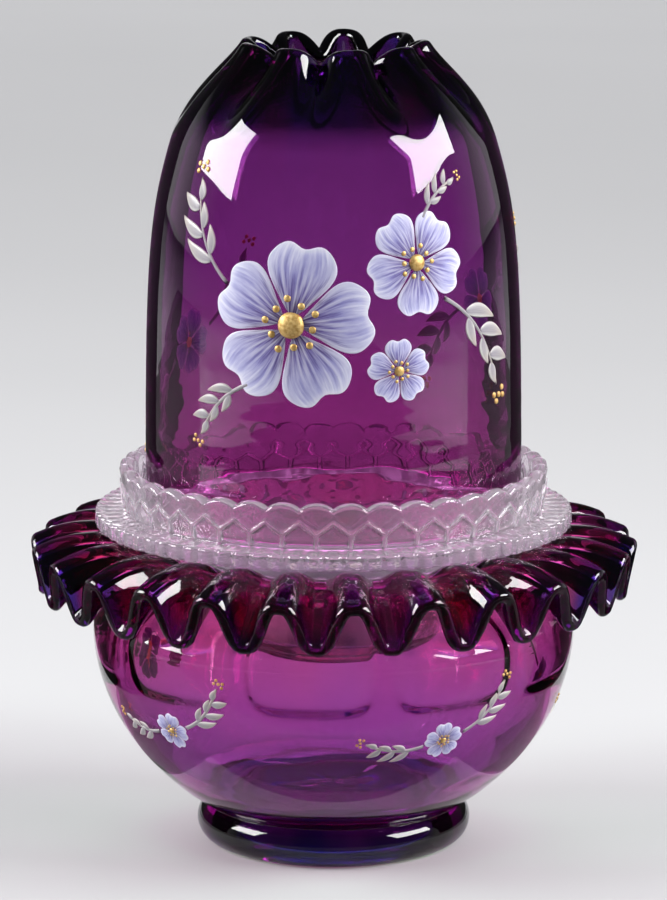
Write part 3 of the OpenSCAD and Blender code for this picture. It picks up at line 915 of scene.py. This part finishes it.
class Paint:
    """Enamel of one colour: lens-shaped patches, each closed under the surface that it lies on."""

    SUNK = 0.05
    EDGE = 0.04
    LEAF_H = 0.22
    STEM_H = 0.12
    PETAL_H = 0.16
    PETAL_NOTCH = 0.14
    PETAL_NOTCH_HALF = 0.35

    def __init__(self, skin):
        self.skin = skin
        self.points, self.faces, self.uvs = [], [], []

    def patch(self, spot, u, v, across, along, lift):
        rows, columns = u.shape
        border = np.ones_like(u, bool)
        border[1:-1, 1:-1] = False
        front = self.skin.points(spot, u, v, np.where(border, -self.SUNK, lift))
        back = self.skin.points(spot, u, v, np.where(border, -self.SUNK, -2 * self.SUNK))
        uv = np.stack([across, along], -1).reshape(-1, 2)
        index = np.arange(rows * columns).reshape(rows, columns)
        cells = [index[:-1, :-1], index[:-1, 1:], index[1:, 1:], index[1:, :-1]]
        quads = np.stack(cells, -1).reshape(-1, 4)
        for side, corners in ((front, quads), (back, quads[:, ::-1])):
            self.faces += (corners + len(self.points)).tolist()
            self.points += side.reshape(-1, 3).tolist()
            self.uvs += uv.tolist()

    def stroke(self, spot, centre, turn, s, t, reach, side, height):
        """A raised shape from centre outwards: s is 0 to 1 along it and t is -1 to 1 across."""
        u = centre[0] + reach * cosd(turn) - side * sind(turn)
        v = centre[1] + reach * sind(turn) + side * cosd(turn)
        swell = (1 - t**2) * np.sin(math.pi * np.clip(s, 0.05, 0.95)) ** 0.6
        self.patch(spot, u, v, (t + 1) / 2, s, self.EDGE + height * swell)

    def leaf(self, spot, centre, direction, length, width, bend):
        """A pointed leaf that turns by bend towards its tip."""
        s, t = np.meshgrid(np.linspace(0, 1, 13), np.linspace(-1, 1, 11), indexing="ij")
        side = width / 2 * t * (0.08 + 0.92 * np.sin(math.pi * s**0.8))
        self.stroke(spot, centre, direction + bend * s, s, t, length * s, side, self.LEAF_H)

    def petal(self, spot, centre, direction, length, width):
        """A round petal, narrow at the flower's eye and notched at its tip."""
        x, y, ahead, off = disc(21)
        along = (ahead + 1) / 2
        notch = self.PETAL_NOTCH * along**3 * np.exp(-((off / self.PETAL_NOTCH_HALF) ** 2))
        reach = length * along * (1 - notch)
        side = width / 2 * off * (0.35 + 0.65 * smooth(-0.1, 0.75, along))
        self.stroke(spot, centre, direction, (x + 1) / 2, y, reach, side, self.PETAL_H)

    def stem(self, spot, points, width):
        """A thin line through the four handles of a curve."""
        s, t = np.meshgrid(np.linspace(0, 1, 25), np.linspace(-1, 1, 5), indexing="ij")
        middle = np.array([bezier(points, x) for x in s[:, 0]])
        run = unit(np.gradient(middle, axis=0))
        half = width / 2 * (1 - 0.45 * s)
        u = middle[:, :1] - run[:, 1:] * half * t
        v = middle[:, 1:] + run[:, :1] * half * t
        self.patch(spot, u, v, (t + 1) / 2, s, self.EDGE + self.STEM_H * (1 - t**2))

    def dot(self, spot, centre, size):
        """A round drop."""
        across, up = disc(9)[2:]
        ring = np.hypot(across, up)
        u = centre[0] + size / 2 * across
        v = centre[1] + size / 2 * up
        lift = 0.05 + 0.45 * size / 2 * np.sqrt(np.clip(1 - ring**2, 0, 1))
        self.patch(spot, u, v, ring, ring, lift)

    def piece(self, name, material, body):
        mesh = bpy.data.meshes.new(name)
        mesh.from_pydata((np.array(self.points) * MM).tolist(), [], self.faces)
        layer = mesh.uv_layers.new(name="strokes")
        corners = np.zeros(len(mesh.loops), int)
        mesh.loops.foreach_get("vertex_index", corners)
        layer.data.foreach_set("uv", np.array(self.uvs)[corners].ravel())
        work = bmesh.new()
        work.from_mesh(mesh)
        bmesh.ops.remove_doubles(work, verts=work.verts, dist=MM * NUDGE)
        bmesh.ops.recalc_face_normals(work, faces=work.faces)
        work.to_mesh(mesh)
        work.free()
        obj = new_object(name, mesh)
        mesh.materials.append(material)
        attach(obj, body)
        return obj


def beside(place, direction, distance):
    return place[0] + distance * cosd(direction), place[1] + distance * sind(direction)


def blossom(petals, gold, spot, centre, size, turn, count=5):
    """An open flower of notched round petals with a gilt eye."""
    for i in range(count):
        direction = turn + i * 360 / count
        start = beside(centre, direction, 0.06 * size)
        petals.petal(spot, start, direction, 0.46 * size, 0.46 * size * 5 / count)
    gold.dot(spot, centre, 0.16 * size)
    for i in range(2 * count):
        direction = turn + (i + 0.5) * 180 / count
        out = size * (0.13 if i % 2 else 0.16)
        gold.dot(spot, beside(centre, direction, out), 0.035 * size + 0.35)


def spray(leaves, gold, spot, start, direction, size, side):
    """A curved stem with leaves along one side of it and gilt dots at its end."""
    ahead = np.array([cosd(direction), sind(direction)])
    across = np.array([-sind(direction), cosd(direction)])
    start = np.array(start, float)
    handles = [
        start,
        start + ahead * size * 0.4,
        start + ahead * size * 0.7 + across * side * size * 0.15,
        start + ahead * size + across * side * size * 0.45,
    ]
    leaves.stem(spot, handles, 1.0)
    for share, length in ((0.25, 0.42), (0.5, 0.38), (0.75, 0.3)):
        low, high = bezier(handles, share), bezier(handles, share + 0.06)
        leaves.leaf(spot, low, direction - side * 38, length * size, 0.14 * size, side * 22)
        leaves.leaf(spot, high, direction + side * 62, length * size * 0.7, 0.12 * size, -side * 18)
    end = handles[3]
    for i in range(5):
        off = direction + side * (40 + 24 * (i - 2))
        out = size * (0.1 + 0.05 * (i % 2))
        gold.dot(spot, beside(end, off, out), 0.055 * size)


def shade_skin():
    half = SHADE_WALL / 2
    return Skin([wall_side(shade_side, s, -half) for s in np.linspace(0, 1, 80)])


def bowl_skin():
    return Skin([bezier(bowl_outside, s) for s in np.linspace(0.05, 1, 60)])


# Flowers have a centre, a size and a turn. Sprays have a start, a direction, a size and a side.
FRONT_SPOT = (0, 126)
FRONT_FLOWERS = (((-9, -4), 36, 80), ((18.5, 8.8), 23, 55), ((14, -14), 14, 20))
FRONT_SPRAYS = (
    ((-24, 4), 140, 22, -1), ((25, 0.8), -28, 24, -1),
    ((20.5, 17.8), 62, 12, -1), ((-18, -17), -160, 16, 1),
)
BACK_SPOTS = ((120, 118), (-122, 108))
BACK_FLOWERS = (((0, 0), 15, 40),)
BACK_SPRAYS = (((-8, 3), 150, 18, -1), ((8, -3), -30, 18, -1))
BOWL_SPOTS = tuple((-44 + 72 * i, 33) for i in range(5))
BOWL_SPRAYS = (((4.5, 1.5), 25, 13, 1), ((-4.5, -1), 198, 12, -1))


def bunch(petals, leaves, dots, place, flowers, sprays):
    """Flowers and sprays about a place, which is an azimuth from the front and a height."""
    spot = petals.skin.spot(*place)
    for flower in flowers:
        blossom(petals, dots, spot, *flower)
    for sprig in sprays:
        spray(leaves, dots, spot, *sprig)


def decorate_shade(petal, leaf, gold):
    petals, leaves, dots = (Paint(shade_skin()) for _ in range(3))
    bunch(petals, leaves, dots, FRONT_SPOT, FRONT_FLOWERS, FRONT_SPRAYS)
    for place in BACK_SPOTS:
        bunch(petals, leaves, dots, place, BACK_FLOWERS, BACK_SPRAYS)
    petals.piece("shade_petals", petal, "dome")
    leaves.piece("shade_leaves", leaf, "dome")
    dots.piece("shade_gilding", gold, "dome")


def decorate_bowl(petal, leaf, gold):
    petals, leaves, dots = (Paint(bowl_skin()) for _ in range(3))
    for i, place in enumerate(BOWL_SPOTS):
        bunch(petals, leaves, dots, place, [((0, 0), 9, 25 * i)], BOWL_SPRAYS)
    petals.piece("bowl_petals", petal, "base")
    leaves.piece("bowl_leaves", leaf, "base")
    dots.piece("bowl_gilding", gold, "base")


# Stage

FLOOR_R = 6.0
CARD_Z = 0.002
BLACK = 0.007
FLAG_X = 0.105
LAMP_MID_Z = 0.1
LENS = 203.0
CAMERA_AT = (0.0, -1.093, 0.306)
CAMERA_DOWN = 11.313
BOUNCES = 32


def make_floor():
    mesh = bpy.data.meshes.new("studio_floor")
    work = bmesh.new()
    bmesh.ops.create_circle(work, cap_ends=True, radius=FLOOR_R, segments=96)
    work.to_mesh(mesh)
    work.free()
    floor = bpy.data.objects.new("studio_floor", mesh)
    bpy.context.scene.collection.objects.link(floor)
    s = Shader("pale_floor")
    mottle = s.noise(s.place(), 4.0, 2.0)
    colour = s.mix(mottle, (0.46, 0.46, 0.47), (0.49, 0.49, 0.50))
    s.surface(s.add("ShaderNodeBsdfPrincipled", Base_Color=colour, Roughness=0.8))
    mesh.materials.append(s.material)


def soft_box(name, azimuth, elevation, distance, size, power, glossy=True):
    lamp = bpy.data.lights.new(name, "AREA")
    lamp.shape = "RECTANGLE"
    lamp.size, lamp.size_y = size
    lamp.energy = power
    obj = bpy.data.objects.new(name, lamp)
    bpy.context.scene.collection.objects.link(obj)
    flat = distance * cosd(elevation)
    up = LAMP_MID_Z + distance * sind(elevation)
    obj.location = (flat * sind(azimuth), -flat * cosd(azimuth), up)
    obj.rotation_euler = (math.radians(90 - elevation), 0, math.radians(azimuth))
    obj.visible_camera = False
    obj.visible_glossy = glossy
    return obj


def dark_card(name, corners, dark):
    """A card near the lamp, not seen itself, that darkens what the glass mirrors at its edges."""
    mesh = bpy.data.meshes.new(name)
    mesh.from_pydata(corners, [], [(0, 1, 2, 3)])
    card = bpy.data.objects.new(name, mesh)
    bpy.context.scene.collection.objects.link(card)
    s = Shader(name)
    felt = s.noise(s.place(), 300.0, 2.0)
    colour = s.mix(felt, (dark * 0.7,) * 3, (dark * 1.3,) * 3)
    s.surface(s.add("ShaderNodeBsdfPrincipled", Base_Color=colour, Roughness=1.0))
    mesh.materials.append(s.material)
    card.visible_camera = card.visible_shadow = card.visible_diffuse = False


def floor_card(name, low, high, dark):
    """A card that lies on the floor between two corners; dark is how much light it throws back."""
    (x0, y0), (x1, y1) = low, high
    dark_card(name, [(x0, y0, CARD_Z), (x1, y0, CARD_Z), (x1, y1, CARD_Z), (x0, y1, CARD_Z)], dark)


def make_world():
    """Pale to the eye. In the glass it is bright behind the lamp, and dark above and in front."""
    world = bpy.data.worlds.new("studio")
    world.use_nodes = True
    bpy.context.scene.world = world
    tree = world.node_tree
    tree.nodes.clear()
    s = Shader.__new__(Shader)
    s.tree = tree
    _, y, z = s.split(s.place("Generated"))
    behind = s.ramp(
        s.range(z, -0.1, 0.9),
        (0.0, (0.72, 0.72, 0.73)), (0.35, (0.62, 0.62, 0.64)), (0.7, (0.05, 0.05, 0.06)),
    )
    studio = s.mix(s.range(y, -0.15, 0.5), (0.04, 0.04, 0.05), behind)
    path = s.add("ShaderNodeLightPath").outputs
    seen = s.math("MAXIMUM", path["Is Glossy Ray"], path["Is Transmission Ray"])
    light = s.mix(seen, (0.12, 0.12, 0.13), studio)
    colour = s.mix(path["Is Camera Ray"], light, (0.60, 0.60, 0.61))
    background = s.add("ShaderNodeBackground", Color=colour, Strength=1.0)
    output = s.add("ShaderNodeOutputWorld")
    s.feed(output.inputs["Surface"], background.outputs[0])


def make_camera():
    data = bpy.data.cameras.new("camera")
    data.lens = LENS
    data.sensor_width = 36.0
    data.clip_end = 50.0
    camera = bpy.data.objects.new("camera", data)
    bpy.context.scene.collection.objects.link(camera)
    camera.location = CAMERA_AT
    camera.rotation_euler = (math.radians(90 - CAMERA_DOWN), 0, 0)
    bpy.context.scene.camera = camera


# Put together

def dress(obj, material, body, node):
    obj.data.materials.append(material)
    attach(obj, body)
    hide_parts(node)


dress(make_bowl(), bowl_glass(), "base", "base_bowl")
dress(make_insert(), clear_glass(), "insert", "candle_insert")
dress(make_shade(), shade_glass(), "dome", "shade")
dress(make_cup(), cup_metal(), "candle", "tealight_cup")
dress(make_wax(), candle_wax(), "candle", "tealight_wax")
dress(make_wick(), wick_cotton(), "candle", "wick")

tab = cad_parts["wick_tab"].data
tab.materials.clear()
tab.materials.append(tab_metal())

petal, leaf, gold = petal_enamel(), leaf_enamel(), gilt()
decorate_shade(petal, leaf, gold)
decorate_bowl(petal, leaf, gold)

make_floor()
make_world()
make_camera()
for side, x in (("left", -FLAG_X), ("right", FLAG_X)):
    for name, near, far, top in (("flag", 0.06, 0.42, 0.32), ("low_flag", -0.005, 0.06, 0.07)):
        corners = [(x, near, 0), (x, far, 0), (x, far, top), (x, near, top)]
        dark_card(f"{side}_{name}", corners, BLACK)
floor_card("front_card", (-0.5, -1.2), (0.5, -0.08), BLACK)
floor_card("front_near", (-0.5, -0.08), (0.5, -0.036), 0.12)
floor_card("left_card", (-1.2, -0.036), (-0.22, 0.45), 0.10)
floor_card("right_card", (0.22, -0.036), (1.2, 0.45), 0.10)
floor_card("left_near", (-0.22, -0.036), (-0.045, 0.05), 0.14)
floor_card("right_near", (0.045, -0.036), (0.22, 0.05), 0.14)
soft_box("left_box", azimuth=-86, elevation=27, distance=1.0, size=(0.58, 0.46), power=14.5)
soft_box("right_box", azimuth=76, elevation=31, distance=1.0, size=(0.66, 0.46), power=16.5)
soft_box(
    "back_wash", azimuth=180, elevation=35, distance=2.6, size=(3.0, 1.5), power=54, glossy=False,
)

scene = bpy.context.scene
scene.view_settings.view_transform = "Standard"
scene.cycles.max_bounces = BOUNCES
scene.cycles.transmission_bounces = BOUNCES
scene.cycles.transparent_max_bounces = BOUNCES
scene.cycles.glossy_bounces = 8
scene.cycles.caustics_reflective = False
scene.cycles.caustics_refractive = False
